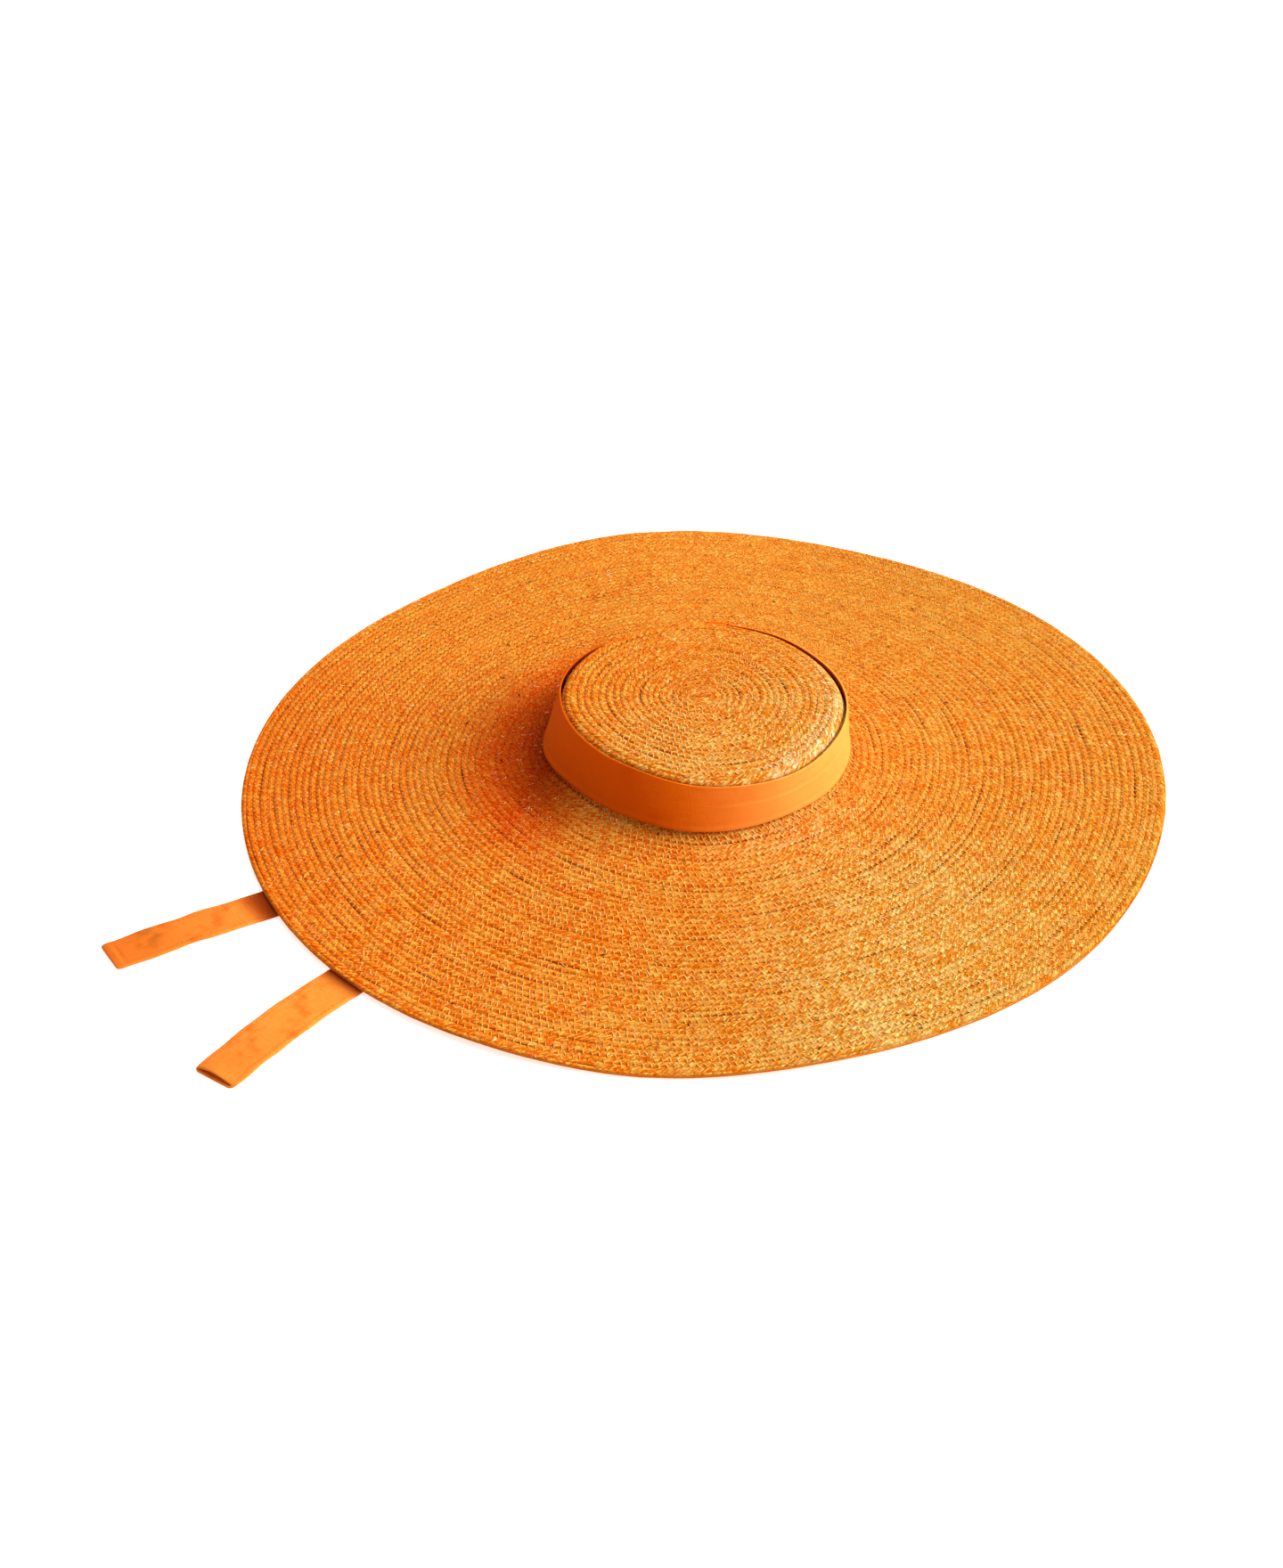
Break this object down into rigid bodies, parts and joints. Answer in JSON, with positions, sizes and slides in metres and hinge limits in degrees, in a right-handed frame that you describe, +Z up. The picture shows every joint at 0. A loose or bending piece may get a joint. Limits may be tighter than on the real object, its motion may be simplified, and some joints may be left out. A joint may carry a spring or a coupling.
{
  "type": "wide-brim straw hat",
  "caption": "Wide-brim straw hat sewn from one braid, with a low oval crown, a plain linen band, a corded brim edge and flat linen ties, lying flat.",
  "frame": {"origin": "under the middle of the crown, on the surface that the hat lies on, at the centre of the head opening's way in", "axes": "+Z up through the crown; the ties lead away towards -X and -Y; +X is the side away from the ties"},
  "size_m": [0.6516, 0.58, 0.063],
  "materials": {
    "straw": "dyed jute braid sewn edge to edge in a spiral with lighter zigzag thread, matt and fibrous",
    "straw_edge": "dyed jute cord, rolled outermost round, matt and fibrous",
    "band_linen": "dyed plain-weave linen, folded edges, matt",
    "tie_linen": "dyed plain-weave linen tube, edge-stitched, matt"
  },
  "bodies": {
    "root": {"crown": "straw", "brim": "straw", "brim_edge": "straw_edge", "hat_band": "band_linen", "tie_left": "tie_linen", "tie_right": "tie_linen"}
  },
  "joints": []
}
